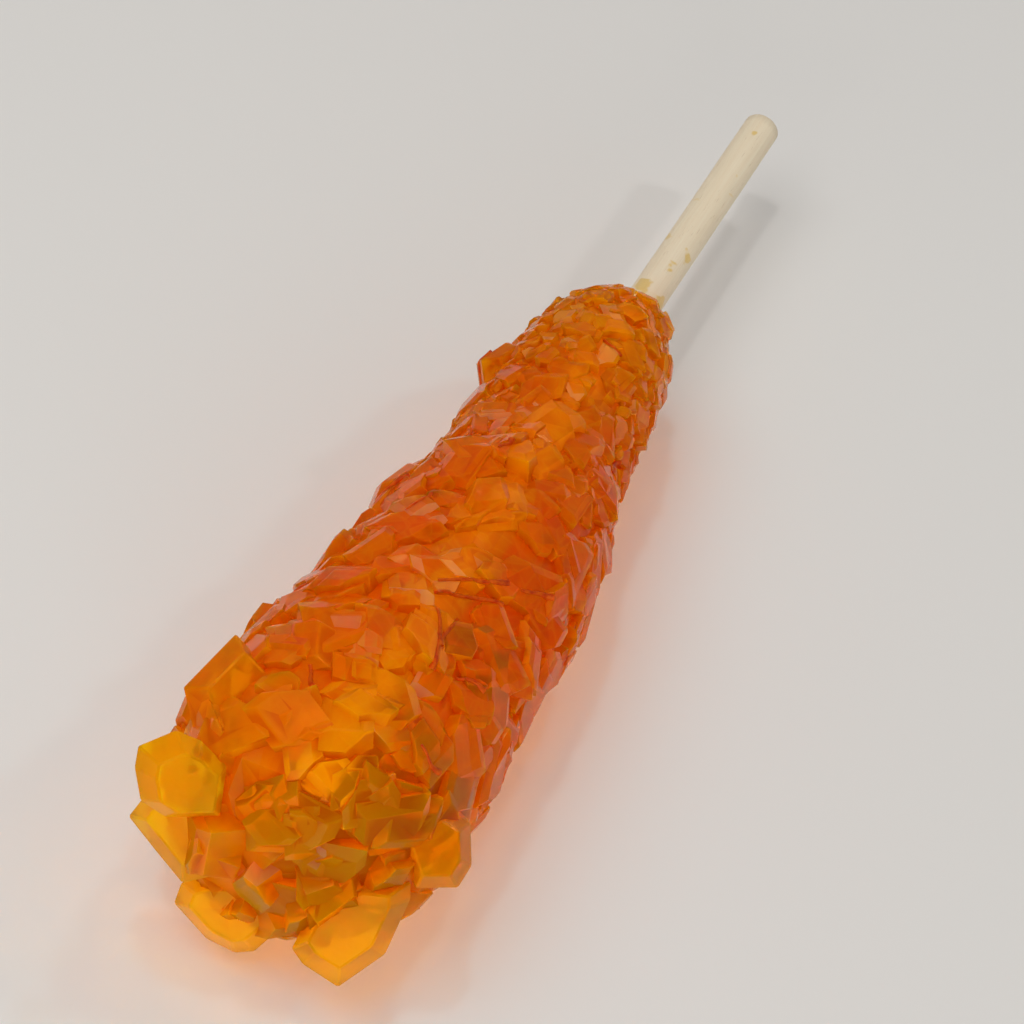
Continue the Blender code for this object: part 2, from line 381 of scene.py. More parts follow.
# The large crystals that stand out round the broad end and on the side, each a flat block.
# In millimetres, its middle is given from the stick's line at the candy's end, its outline
# as corners across and up, and how far its broad face is set off that way. Where the face
# looks is in degrees, and clearness is 1 for the palest sugar.
RIM_CRYSTALS = (
    # middle (x, y, z), azimuth, elevation, thickness, clearness, face off by, outline
    ((3.0, 9.8, 6.2), -72, 40, 5.0, 1.0, (0.9, -0.5),
     ((-3.6, 0.8), (-3.2, -2.2), (-1.0, -3.8), (3.8, -3.9), (4.6, 0.6), (2.4, 3.0),
      (0.2, 4.0), (-3.2, 2.7))),
    ((2.2, 8.8, -1.6), -86, 36, 4.6, 1.0, (0.8, 0.9),
     ((-4.2, 1.5), (-1.4, -1.2), (1.4, -3.8), (5.0, -2.4), (4.8, 2.4), (-2.8, 3.8))),
    ((2.2, 2.2, -8.8), -76, 28, 5.0, 1.0, (0.2, 1.0),
     ((-4.9, 1.4), (-2.0, -2.0), (0.6, -3.3), (2.4, -3.1), (5.0, -0.6), (4.2, 3.6),
      (-1.6, 4.2), (-4.2, 3.4))),
    ((3.8, -9.6, -4.8), -64, 38, 5.6, 0.8, (-0.5, 0.9),
     ((-6.0, -0.4), (-5.2, -2.0), (-2.3, -4.6), (2.3, -2.2), (5.2, 2.6), (5.4, 4.2),
      (1.8, 5.2), (-3.4, 3.4))),
    ((12.0, -13.2, 1.2), -48, 48, 5.0, 0.3, (-0.8, 0.4),
     ((-3.4, -2.5), (0.3, -3.9), (2.2, -2.5), (3.4, 1.2), (1.7, 3.4), (-0.8, 3.8),
      (-3.4, 1.6))),
    ((13.0, 9.7, 8.2), -52, 55, 5.0, 0.2, (0.4, -0.4),
     ((-4.1, 1.3), (2.0, 4.5), (4.9, -1.5), (-1.6, -4.6), (-4.6, -4.2))),
    ((49.0, 8.6, 2.1), -40, 55, 4.4, 0.2, (0.8, 0.2),
     ((-3.2, 0.3), (-1.2, -1.9), (3.5, -2.4), (4.5, 0.6), (2.2, 2.4), (-1.2, 1.9))),
    ((71.5, 7.2, 1.0), -40, 52, 4.0, 0.2, (0.6, 0.1),
     ((-3.0, -0.6), (-1.4, -2.6), (2.4, -2.4), (3.6, 0.4), (1.4, 2.6), (-2.0, 2.2))),
)
RIM_FACE = 0.68                 # the broad face's outline as a share of the whole
RIM_BACK = 0.85                 # and the back's
RIM_BELLY = 0.1                 # where it is widest, in half thicknesses over its middle
RIM_TURN = 13                   # how far every outline is turned where it faces
RIM_WEAR = 0.16 * MM            # of its worn edges


def facing(azimuth, elevation, turn):
    """The turn that makes +Z look out along an azimuth and an elevation."""
    level = back_vector(azimuth, elevation).to_track_quat("Z", "Y").to_matrix().to_4x4()
    return level @ Matrix.Rotation(math.radians(turn), 4, "Z")


def hull_block(outline, levels):
    """The hull of an outline laid at levels: (height, share of its size, shift)."""
    bm = bmesh.new()
    for height, share, shift in levels:
        for across, up in outline:
            place = Vector((across, up)) * share + Vector(shift)
            bm.verts.new((place.x * MM, place.y * MM, height))
    bmesh.ops.convex_hull(bm, input=bm.verts[:])
    inside = [vertex for vertex in bm.verts if not vertex.link_faces]
    bmesh.ops.delete(bm, geom=inside, context="VERTS")
    bmesh.ops.dissolve_limit(bm, angle_limit=math.radians(1), verts=bm.verts, edges=bm.edges)
    return bmesh_object("block", bm)


def make_rim_crystals():
    """The rim crystals in one mesh, each marked with how clear its sugar is."""
    blocks = []
    for middle, azimuth, elevation, thickness, clearness, off, outline in RIM_CRYSTALS:
        half = thickness * MM / 2
        block = hull_block(outline, (
            (half, RIM_FACE, off), (RIM_BELLY * half, 1.0, (0, 0)), (-half, RIM_BACK, (0, 0)),
        ))
        mesh = block.data.copy()
        remove(block)
        wear_edges(mesh, RIM_WEAR)
        place = stick_line(CANDY_LOW.x) + Vector(middle) * MM
        mesh.transform(Matrix.Translation(place) @ facing(azimuth, elevation, RIM_TURN))
        clear = mesh.attributes.new("clear", "FLOAT", "FACE")
        clear.data.foreach_set("value", [clearness] * len(mesh.polygons))
        blocks.append(mesh_object("rim crystal", mesh))
    return mesh_object("rim crystals", union_of(blocks))


# ---------------------------------------------------------------- envelope

ENVELOPE_RINGS = 40
ENVELOPE_SIDES = 36
ENVELOPE_WINDOW = 4             # rings and sides on either hand that a point looks at
ENVELOPE_RANK = 0.55            # of the heights there, from the lowest to the highest
ENVELOPE_START = 0.6            # of a ring, from either end to the first and the last ring
ENVELOPE_POINT = 0.8 * MM       # how far its closed ends stand out
# How far the broad end is rounded off, as shares of its reach
ENVELOPE_ROUNDING = ((0.0, 0.52), (0.03, 0.74), (0.08, 0.92), (0.14, 1.0), (1.0, 1.0))


def measure_reaches(places):
    """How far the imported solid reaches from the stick's line, all round at each place."""
    tree = surface_tree(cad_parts["candy"].data)
    far = CANDY_HIGH.z
    reaches = []
    for middle in places:
        row = []
        for side in range(ENVELOPE_SIDES):
            out = outwards(math.tau * side / ENVELOPE_SIDES)
            hit = tree.ray_cast(middle + out * far, -out)[3]
            row.append(0.0 if hit is None else far - hit)
        reaches.append(row)
    return reaches


def even_reach(reaches, ring, side):
    """The reach at a point once single crystals are evened out."""
    near = []
    for other in range(ring - ENVELOPE_WINDOW, ring + ENVELOPE_WINDOW + 1):
        row = reaches[min(max(other, 0), ENVELOPE_RINGS - 1)]
        for turn in range(side - ENVELOPE_WINDOW, side + ENVELOPE_WINDOW + 1):
            near.append(row[turn % ENVELOPE_SIDES])
    near.sort()
    return near[int(ENVELOPE_RANK * len(near))]


def make_envelope():
    """A smooth closed skin near the tops of the solid's crystals."""
    whole = ENVELOPE_RINGS - 1 + 2 * ENVELOPE_START
    shares = [(ring + ENVELOPE_START) / whole for ring in range(ENVELOPE_RINGS)]
    places = [stick_line(along_candy(share)) for share in shares]
    reaches = measure_reaches(places)
    bm = bmesh.new()
    rings = []
    for ring, middle in enumerate(places):
        rounding = between(ENVELOPE_ROUNDING, shares[ring])
        made = []
        for side in range(ENVELOPE_SIDES):
            out = outwards(math.tau * side / ENVELOPE_SIDES)
            made.append(bm.verts.new(middle + out * even_reach(reaches, ring, side) * rounding))
        rings.append(made)
    for low, high in zip(rings, rings[1:]):
        bridge(bm, low, high)
    for ring, middle, way in ((rings[0], places[0], -1), (rings[-1], places[-1], 1)):
        close_ring(bm, ring, middle + Vector((way * ENVELOPE_POINT, 0, 0)))
    bmesh.ops.recalc_face_normals(bm, faces=bm.faces[:])
    return bmesh_object("envelope", bm)


# ---------------------------------------------------------------- growth

SPACING = 1.2                   # between the middles of crystals, in crystal lengths
DENSEST = 4.0e6                 # points for each square metre that the spacing thins out
TINT_SEED = 77
PLUG_SIDES = 16                 # of what fills the stick's bore
TABLE_SLAB = Vector((0.4, 0.4, 0.04))   # what the growth is cut level by


def random_number(tree, low, high, seed):
    made = tree.node("FunctionNodeRandomValue", data_type="FLOAT")
    tree.feed(made.inputs[2], low)
    tree.feed(made.inputs[3], high)
    tree.feed(made.inputs["Seed"], seed)
    return made.outputs[1]


def random_vector(tree, low, high, seed):
    made = tree.node("FunctionNodeRandomValue", data_type="FLOAT_VECTOR")
    tree.feed(made.inputs[0], low)
    tree.feed(made.inputs[1], high)
    tree.feed(made.inputs["Seed"], seed)
    return made.outputs[0]


def fuse(tree, *parts):
    """One closed skin round all the parts."""
    made = tree.node("GeometryNodeMeshBoolean", operation="UNION", solver="MANIFOLD")
    joint = next(socket for socket in made.inputs if socket.is_multi_input)
    for part in parts:
        tree.tree.links.new(part, joint)
    return made.outputs[0]


def stick_rod(tree, middle, length, radius, sides, bands=1):
    """A closed rod round the stick's line, its middle at an x."""
    rod = tree.node("GeometryNodeMeshCylinder", {
        "Vertices": sides, "Side Segments": bands, "Radius": radius, "Depth": length,
    })
    laid = tree.node("GeometryNodeTransform", {
        "Geometry": rod.outputs["Mesh"], "Translation": stick_line(middle),
        "Rotation": STICK_WAY.to_track_quat("Z", "Y").to_euler(),
    })
    return laid.outputs[0]


def zone_share(tree, given):
    """1 between two places along X, easing to 0 over a distance outside them."""
    place = tree.node("GeometryNodeInputPosition")
    along = tree.first_axis(place.outputs[0])
    before = tree.maths("SUBTRACT", along, given["Starts"])
    after = tree.maths("SUBTRACT", given["Ends"], along)
    inside = tree.maths("DIVIDE", tree.maths("MINIMUM", before, after), given["Fade"])
    return tree.maths("MULTIPLY", tree.maths("ADD", inside, 1.0, clamp=True), given["Cover"])


def make_flush():
    """One flush of crystals: blocks a little apart on the ground, between two places, fused
    into what has grown so far."""
    tree = geometry_tree("crystal flush")
    tree.given("Ground", "NodeSocketGeometry")
    tree.given("Kinds", "NodeSocketCollection")
    tree.given("Length", "NodeSocketFloat", 3.0 * MM)
    tree.given("Shortest", "NodeSocketFloat", 0.55)
    tree.given("Tilt", "NodeSocketFloat", 0.6)
    tree.given("Sink", "NodeSocketFloat", 0.1)
    tree.given("Starts", "NodeSocketFloat", -1.0)
    tree.given("Ends", "NodeSocketFloat", 1.0)
    tree.given("Fade", "NodeSocketFloat", 6.0 * MM)
    tree.given("Cover", "NodeSocketFloat", 1.0)
    tree.given("Seed", "NodeSocketInt", 0)
    given = tree.node("NodeGroupInput").outputs
    seed = given["Seed"]
    points = tree.node("GeometryNodeDistributePointsOnFaces", {
        "Mesh": given["Ground"], "Density Max": DENSEST,
        "Density Factor": zone_share(tree, given),
        "Distance Min": tree.maths("MULTIPLY", given["Length"], SPACING), "Seed": seed,
    }, distribute_method="POISSON")
    tilt_back = tree.maths("MULTIPLY", given["Tilt"], -1.0)
    low = tree.node("ShaderNodeCombineXYZ", {"X": tilt_back, "Y": tilt_back})
    high = tree.node("ShaderNodeCombineXYZ", {
        "X": given["Tilt"], "Y": given["Tilt"], "Z": math.tau,
    })
    lean = random_vector(tree, low.outputs[0], high.outputs[0], seed)
    turn = tree.node("FunctionNodeRotateRotation", {
        "Rotation": points.outputs["Rotation"], "Rotate By": lean,
    }, rotation_space="LOCAL")
    share_of_length = random_number(tree, given["Shortest"], 1.0, seed)
    length = tree.maths("MULTIPLY", given["Length"], share_of_length)
    depth = tree.maths("MULTIPLY", length, given["Sink"])
    down = tree.scaled(points.outputs["Normal"], tree.maths("MULTIPLY", depth, -1.0))
    sunk = tree.node("GeometryNodeSetPosition", {
        "Geometry": points.outputs["Points"], "Offset": down,
    })
    blocks = tree.node("GeometryNodeCollectionInfo", {
        "Collection": given["Kinds"], "Separate Children": True, "Reset Children": True,
    })
    strewn = tree.node("GeometryNodeInstanceOnPoints", {
        "Points": sunk.outputs[0], "Instance": blocks.outputs[0],
        "Pick Instance": True, "Rotation": turn.outputs[0], "Scale": length,
    })
    tint = tree.node("GeometryNodeStoreNamedAttribute", {
        "Geometry": strewn.outputs[0], "Name": "tint",
        "Value": random_number(tree, 0.0, 1.0, TINT_SEED),
    }, domain="INSTANCE", data_type="FLOAT")
    real = tree.node("GeometryNodeRealizeInstances", {"Geometry": tint.outputs[0]})
    kept = tree.node("GeometryNodeInputNamedAttribute", {"Name": "tint"}, data_type="FLOAT")
    on_faces = tree.node("GeometryNodeStoreNamedAttribute", {
        "Geometry": real.outputs[0], "Name": "tint", "Value": kept.outputs[0],
    }, domain="FACE", data_type="FLOAT")
    tree.put_out(fuse(tree, given["Geometry"], on_faces.outputs[0]))
    return tree


def grow_flush(tree, flush, **inputs):
    """Adds one flush, with its named inputs, to a tree."""
    return tree.node("GeometryNodeGroup", inputs, node_tree=flush.tree).outputs[0]


# The flushes in the order that they grow: the kinds of crystal, their length in millimetres,
# the shortest as a share of that, tilt in radians, how deep they sit as a share of their
# length, where they start and end as shares of the candy, and how much of that they cover
FLUSHES = (
    ("blocks", 8.5, 0.80, 0.14, 0.25, 0.00, 0.20, 1.0),
    ("blocks", 7.5, 0.80, 0.16, 0.25, 0.00, 0.24, 1.0),
    ("blocks", 7.0, 0.75, 0.16, 0.25, 0.06, 0.64, 1.0),
    ("blocks", 7.0, 0.75, 0.18, 0.25, 0.06, 0.66, 1.0),
    ("blocks", 6.5, 0.75, 0.20, 0.25, 0.02, 0.68, 1.0),
    ("blocks", 6.0, 0.70, 0.22, 0.25, 0.04, 0.70, 1.0),
    ("blocks", 5.5, 0.70, 0.24, 0.25, 0.02, 0.74, 1.0),
    ("plates", 5.0, 0.70, 0.22, 0.07, 0.04, 0.72, 0.30),
    ("blocks", 4.2, 0.70, 0.24, 0.24, 0.62, 0.98, 1.0),
    ("blocks", 3.8, 0.70, 0.26, 0.24, 0.62, 0.98, 1.0),
    ("grains", 3.2, 0.70, 0.28, 0.23, 0.64, 1.00, 1.0),
    ("grains", 2.7, 0.70, 0.30, 0.22, 0.66, 1.00, 1.0),
    ("grains", 2.1, 0.60, 0.35, 0.20, 0.66, 1.00, 0.8),
)


def make_growth(kinds, material):
    """The whole growth: a fill under the envelope, with the bore plugged and the rim
    crystals set in it, flush after flush on it, and nothing below the table."""
    flush = make_flush()
    tree = geometry_tree("crystal growth")
    tree.given("Rim crystals", "NodeSocketObject")
    tree.given("Fill depth", "NodeSocketFloat", 0.5 * MM)
    tree.given("Plug radius", "NodeSocketFloat", 2.5 * MM)
    tree.given("Plug length", "NodeSocketFloat", 10 * MM)
    given = tree.node("NodeGroupInput").outputs
    ground = given["Geometry"]
    middle = (STICK_LOW.x + NECK) / 2 - MM
    plug = stick_rod(tree, middle, given["Plug length"], given["Plug radius"], PLUG_SIDES)
    normal = tree.node("GeometryNodeInputNormal").outputs[0]
    inwards = tree.scaled(normal, tree.maths("MULTIPLY", given["Fill depth"], -1.0))
    fill = tree.node("GeometryNodeSetPosition", {"Geometry": ground, "Offset": inwards})
    rim = tree.node("GeometryNodeObjectInfo", {"Object": given["Rim crystals"]})
    grown = fuse(tree, fill.outputs[0], plug)
    grown = fuse(tree, grown, rim.outputs["Geometry"])
    for seed, (kind, length, shortest, tilt, sink, starts, ends, cover) in enumerate(FLUSHES):
        grown = grow_flush(
            tree, flush, Geometry=grown, Ground=ground, Kinds=kinds[kind], Length=length * MM,
            Shortest=shortest, Tilt=tilt, Sink=sink, Starts=along_candy(starts),
            Ends=along_candy(ends), Cover=cover, Seed=seed + 1,
        )
    table = tree.node("GeometryNodeMeshCube", {"Size": TABLE_SLAB})
    below = tree.node("GeometryNodeTransform", {
        "Geometry": table.outputs["Mesh"], "Translation": (0, 0, -TABLE_SLAB.z / 2),
    })
    cut = tree.node("GeometryNodeMeshBoolean", operation="DIFFERENCE", solver="MANIFOLD")
    tree.feed(cut.inputs[0], grown)
    tree.feed(cut.inputs[1], below.outputs[0])
    tree.put_out_as(cut.outputs[0], material)
    return tree


def keep_outer_skin(mesh):
    """Drops the skins of pockets shut in between crystals."""
    bm = bmesh.new()
    bm.from_mesh(mesh)
    waiting = set(bm.faces)
    skins = []
    for first in bm.faces:
        if first not in waiting:
            continue
        waiting.remove(first)
        skin = [first]
        for face in skin:
            for edge in face.edges:
                fresh = [other for other in edge.link_faces if other in waiting]
                waiting.difference_update(fresh)
                skin.extend(fresh)
        skins.append(skin)
    skins.sort(key=lambda skin: sum(face.calc_area() for face in skin))
    pockets = [face for skin in skins[:-1] for face in skin]
    bmesh.ops.delete(bm, geom=pockets, context="FACES")
    bm.to_mesh(mesh)
    bm.free()


# How the sugar under and over each corner of a facet is felt: rays in a narrow cone inwards
# and in a wide one outwards, from a little inside the facet's corner
FEEL_RAYS = 7
INWARD_SPREAD = math.radians(40)
OUTWARD_SPREAD = math.radians(55)
DEEP = 12.0 * MM
SHELTER_REACH = 4.0 * MM
CORNER_INSET = 0.15             # of the way to the facet's middle
RAY_START = 0.01 * MM           # off the facet


def cone_directions(count, spread):
    """Directions about +Z, one straight up and the others leaning by the spread."""
    around = [
        Vector((math.sin(spread) * math.cos(math.tau * index / (count - 1)),
                math.sin(spread) * math.sin(math.tau * index / (count - 1)),
                math.cos(spread)))
        for index in range(count - 1)
    ]
    return [Vector((0, 0, 1))] + around


def feel_sugar(mesh):
    """Stores, for every corner of every facet, how deep the sugar is behind it and how
    much other crystals stand over it."""
    tree = surface_tree(mesh)
    inward = cone_directions(FEEL_RAYS, INWARD_SPREAD)
    outward = cone_directions(FEEL_RAYS, OUTWARD_SPREAD)
    depth = mesh.attributes.new("depth", "FLOAT", "CORNER")
    shelter = mesh.attributes.new("shelter", "FLOAT", "CORNER")
    depths = [0.0] * len(mesh.loops)
    shelters = [0.0] * len(mesh.loops)
    for face in mesh.polygons:
        normal = face.normal
        turn = normal.to_track_quat("Z", "Y").to_matrix()
        rays_in = [-(turn @ way) for way in inward]
        rays_out = [turn @ way for way in outward]
        centre = face.center
        for loop in face.loop_indices:
            corner = mesh.vertices[mesh.loops[loop].vertex_index].co
            place = corner.lerp(centre, CORNER_INSET)
            total = 0.0
            for ray in rays_in:
                hit = tree.ray_cast(place - normal * RAY_START, ray, DEEP)[3]
                total += DEEP if hit is None else hit
            depths[loop] = total / (DEEP * len(rays_in))
            total = 0.0
            for ray in rays_out:
                hit = tree.ray_cast(place + normal * RAY_START, ray, SHELTER_REACH)[3]
                total += 0.0 if hit is None else 1.0 - hit / SHELTER_REACH
            shelters[loop] = total / len(rays_out)
    depth.data.foreach_set("value", depths)
    shelter.data.foreach_set("value", shelters)


def make_candy(kinds, material):
    """The whole mass of sugar as one closed mesh, with its depth and shelter felt."""
    rim = make_rim_crystals()
    candy = make_envelope()
    candy.name = "amber_crystals"
    candy.data = grown_mesh(candy, make_growth(kinds, material), **{
        "Rim crystals": rim,
        "Plug radius": STICK_RADIUS + 0.5 * MM,
        "Plug length": NECK - STICK_LOW.x + 2 * MM,
    })
    remove(rim)
    keep_outer_skin(candy.data)
    feel_sugar(candy.data)
    return candy


# ---------------------------------------------------------------- neck sugar

# The flushes at the neck: crystal length in millimetres, tilt, sink, how far past the neck
# they end in millimetres, how much they cover, and seed
NECK_FLUSHES = (
    (2.4, 0.5, 0.20, 0.0, 1.0, 31),
    (1.8, 0.6, 0.20, 0.4, 1.0, 32),
    (1.3, 0.6, 0.15, 2.2, 0.8, 33),
)
NECK_SHORTEST = 0.6             # crystal there, as a share of the longest
NECK_FADE = 1.0 * MM
# The plain collar under them: how far it stands off the wood and how far short of the neck
# it ends. They grow on a sleeve from inside the candy to past the neck.
COLLAR_RISE = 0.3 * MM
COLLAR_SHORT = 1.0 * MM
SLEEVE_DEPTH = 3.0 * MM
SLEEVE_REACH = 4.4 * MM
SLEEVE_SIDES = 20
SLEEVE_BANDS = 6


def make_neck_sugar(kinds, material):
    """Fine crystals that climb the wood where it leaves the candy."""
    flush = make_flush()
    tree = geometry_tree("neck sugar")
    tree.given("Radius", "NodeSocketFloat")
    given = tree.node("NodeGroupInput").outputs
    inside = NECK - SLEEVE_DEPTH

    def sleeve(end, radius):
        middle = (inside + end) / 2
        return stick_rod(tree, middle, end - inside, radius, SLEEVE_SIDES, SLEEVE_BANDS)

    grown = sleeve(NECK - COLLAR_SHORT, tree.maths("ADD", given["Radius"], COLLAR_RISE))
    ground = sleeve(NECK + SLEEVE_REACH, given["Radius"])
    for length, tilt, sink, past, cover, seed in NECK_FLUSHES:
        grown = grow_flush(
            tree, flush, Geometry=grown, Ground=ground, Kinds=kinds["grains"],
            Length=length * MM, Shortest=NECK_SHORTEST, Tilt=tilt, Sink=sink, Starts=inside,
            Ends=NECK + past * MM, Fade=NECK_FADE, Cover=cover, Seed=seed,
        )
    tree.put_out_as(grown, material)
    sugar = mesh_object("neck_sugar", bpy.data.meshes.new("neck_sugar"))
    sugar.data = grown_mesh(sugar, tree, Radius=STICK_RADIUS)
    return sugar


# ---------------------------------------------------------------- saffron

# Where each thread starts, as a share of the candy's length and an angle round the stick's
# line from the level, which way it heads on the surface from the stick's way, and its length.
# Angles are in degrees and lengths in millimetres.
THREADS = (
    (0.360, 98, 48, 7.4),
    (0.350, 99, 57, 6.8),
    (0.424, 129, 57, 3.8),
    (0.336, 114, 183, 8.0),
    (0.322, 104, 147, 4.6),
    (0.590, 85, 12, 2.0),
    (0.270, 127, 70, 2.6),
    (0.455, 64, 25, 4.2),
    (0.160, 128, 100, 3.4),
    (0.180, 74, 150, 2.8),
    (0.700, 150, 20, 3.6),
    (0.640, 55, 160, 3.0),
    (0.520, 20, 75, 4.4),
    (0.860, 95, 120, 2.4),
    (0.300, 30, 15, 3.2),
    (0.480, 165, 130, 4.0),
    (0.780, 10, 50, 3.2),
    (0.400, 200, 60, 3.8),
)
THREAD_POINTS = 14
THREAD_SIDES = 7
THREAD_BEND = 0.3               # how far its heading turns from end to end, at most
THREAD_WAVE = 0.35 * MM
THREAD_SWING = 5.0              # of the wave from end to end, in radians like the bend
THREAD_FLARE = 3                # the higher, the nearer to its end it flares
THREAD_BASE = 0.17 * MM         # radius at the thin end
THREAD_MOUTH = 0.36 * MM        # and at the flared one
THREAD_RISE = -0.05 * MM        # of its middle over the surface


def surface_point(tree, x, angle):
    """Where the candy's surface lies out from the stick's line, and the way out there."""
    middle = stick_line(x)
    out = outwards(angle)
    far = CANDY_HIGH.z
    hit = tree.ray_cast(middle + out * far, -out)[3]
    return middle + out * (far - (hit or far)), out


def thread_path(tree, rng, share, angle, way, length):
    """Points along a thread that lies on the crystals, wavering a little."""
    angle = math.radians(angle)
    way = math.radians(way)
    start = along_candy(share)
    reach = (surface_point(tree, start, angle)[0] - stick_line(start)).length
    bend = rng.uniform(-THREAD_BEND, THREAD_BEND)
    phase = rng.uniform(0, math.tau)
    points = []
    for index in range(THREAD_POINTS):
        part = index / (THREAD_POINTS - 1)
        heading = way + bend * (part - 0.5)
        along = math.cos(heading) * length * part
        across = math.sin(heading) * length * part
        wave = math.sin(phase + part * THREAD_SWING) * THREAD_WAVE * part
        x = start + along - math.sin(heading) * wave
        turned = angle + (across + math.cos(heading) * wave) / reach
        place, out = surface_point(tree, x, turned)
        points.append(place + out * THREAD_RISE)
    smooth = [points[0]]
    for before, point, after in zip(points, points[1:], points[2:]):
        smooth.append((before + point * 2 + after) / 4)
    return smooth + [points[-1]]


def make_saffron(candy, material):
    """Dried saffron threads, thin at one end and flared at the other."""
    surface = surface_tree(candy.data)
    rng = random.Random(12)
    lines = bpy.data.curves.new("threads", "CURVE")
    lines.dimensions = "3D"
    for share, angle, way, length in THREADS:
        path = thread_path(surface, rng, share, angle, way, length * MM)
        spline = lines.splines.new("POLY")
        spline.points.add(len(path) - 1)
        for index, (point, place) in enumerate(zip(spline.points, path)):
            point.co = (*place, 1.0)
            flare = (index / (len(path) - 1)) ** THREAD_FLARE
            point.radius = THREAD_BASE + (THREAD_MOUTH - THREAD_BASE) * flare
    tree = geometry_tree("saffron threads")
    tree.given("Sides", "NodeSocketInt")
    given = tree.node("NodeGroupInput").outputs
    ring = tree.node("GeometryNodeCurvePrimitiveCircle", {
        "Resolution": given["Sides"], "Radius": 1.0,
    })
    thickness = tree.node("GeometryNodeInputRadius")
    tubes = tree.node("GeometryNodeCurveToMesh", {
        "Curve": given["Geometry"], "Profile Curve": ring.outputs["Curve"],
        "Scale": thickness.outputs[0], "Fill Caps": True,
    })
    tree.put_out_as(tubes.outputs[0], material)
    source = link(bpy.data.objects.new("thread lines", lines))
    mesh = grown_mesh(source, tree, Sides=THREAD_SIDES)
    remove(source)
    bm = bmesh.new()
    bm.from_mesh(mesh)
    bmesh.ops.recalc_face_normals(bm, faces=bm.faces[:])
    bm.to_mesh(mesh)
    bm.free()
    return mesh_object("saffron_threads", mesh)


# ---------------------------------------------------------------- stick

STICK_SIDES = 72
STICK_RINGS = 90
STICK_CHAMFER = 0.22 * MM
STICK_CUT_RINGS = (0.75, 0.5, 0.25)     # on each sawn end, as shares of the radius
# The grain's grooves: how deep, and how often they come along the stick and round it
GROOVE = 0.05 * MM
GROOVE_BROAD = (60, 4.5)
GROOVE_FINE = (110, 13)
GROOVE_FINE_SHARE = 0.6
# The sawn ends' roughness, and how often it comes
CUT_ROUGHNESS = 0.07 * MM
CUT_GRAIN = 2500


def stick_groove(along, angle):
    """How much a grain line lowers the wood at a place along and round the stick."""
    depths = []
    for often, turns in (GROOVE_BROAD, GROOVE_FINE):
        place = Vector((along * often, math.cos(angle) * turns, math.sin(angle) * turns))
        depths.append(abs(noise.noise(place)))
    return GROOVE * (depths[0] + GROOVE_FINE_SHARE * depths[1])


def make_stick(material):
    """The round stick, with the grain's fine grooves and two sawn ends."""
    bm = bmesh.new()
    inner = STICK_LENGTH - 2 * STICK_CHAMFER
    stations = [(0.0, STICK_CHAMFER)]
    for ring in range(STICK_RINGS):
        stations.append((STICK_CHAMFER + inner * ring / (STICK_RINGS - 1), 0.0))
    stations.append((STICK_LENGTH, STICK_CHAMFER))
    rings = []
    for along, drop in stations:
        ring = []
        for side in range(STICK_SIDES):
            angle = math.tau * side / STICK_SIDES
            radius = STICK_RADIUS - drop - stick_groove(along, angle)
            ring.append(bm.verts.new((along, radius * math.cos(angle), radius * math.sin(angle))))
        rings.append(ring)
    for low, high in zip(rings, rings[1:]):
        for face in bridge(bm, low, high):
            face.smooth = True
    for ring, along in ((rings[0], 0.0), (rings[-1], STICK_LENGTH)):
        outer = ring
        for share in STICK_CUT_RINGS:
            made = []
            for side in range(STICK_SIDES):
                angle = math.tau * side / STICK_SIDES
                y = STICK_RADIUS * share * math.cos(angle)
                z = STICK_RADIUS * share * math.sin(angle)
                rough = noise.noise(Vector((along * 100, y * CUT_GRAIN, z * CUT_GRAIN)))
                made.append(bm.verts.new((along + rough * CUT_ROUGHNESS, y, z)))
            bridge(bm, outer, made)
            outer = made
        close_ring(bm, outer, (along, 0, 0))
    bmesh.ops.recalc_face_normals(bm, faces=bm.faces[:])
    stick = bmesh_object("birch_stick", bm)
    mesh = stick.data
    grain = mesh.attributes.new("grain", "FLOAT_VECTOR", "POINT")
    for vertex in mesh.vertices:
        grain.data[vertex.index].vector = vertex.co
    lay = STICK_WAY.to_track_quat("X", "Z").to_matrix().to_4x4()
    mesh.transform(Matrix.Translation(STICK_START) @ lay)
    mesh.materials.append(material)
    return stick


# ---------------------------------------------------------------- materials

def new_material(name):
    material = bpy.data.materials.new(name)
    material.use_nodes = True
    tree = Tree(material.node_tree)
    shader = material.node_tree.nodes["Principled BSDF"]
    return material, tree, shader


def attribute(tree, name):
    return tree.node("ShaderNodeAttribute", attribute_name=name).outputs["Fac"]


def colour_mix(tree, share, low, high):
    made = tree.node("ShaderNodeMix", data_type="RGBA")
    tree.feed(made.inputs["Factor"], share)
    for name, colour in (("A", low), ("B", high)):
        tree.feed(made.inputs[name], (*colour, 1) if isinstance(colour, tuple) else colour)
    return made.outputs["Result"]


def overlaid(tree, colour, mask, strength, over):
    """A colour with another over it, where a mask is and as strongly as given."""
    return colour_mix(tree, tree.maths("MULTIPLY", mask, strength), colour, over)


def ramp_share(tree, value, low, high):
    made = tree.node("ShaderNodeMapRange", {
        "Value": value, "From Min": low, "From Max": high,
    })
    return made.outputs[0]


def let_lamps_through(tree, material, shader):
    """Lamps' light passes the sugar, tinted, instead of throwing a black shadow."""
    path = tree.node("ShaderNodeLightPath")
    veil = tree.node("ShaderNodeBsdfTransparent", {"Color": (*LAMP_TINT, 1)})
    surface = tree.node("ShaderNodeMixShader", {"Fac": path.outputs["Is Shadow Ray"]})
    tree.feed(surface.inputs[1], shader.outputs[0])
    tree.feed(surface.inputs[2], veil.outputs[0])
    output = material.node_tree.nodes["Material Output"]
    tree.feed(output.inputs["Surface"], surface.outputs[0])


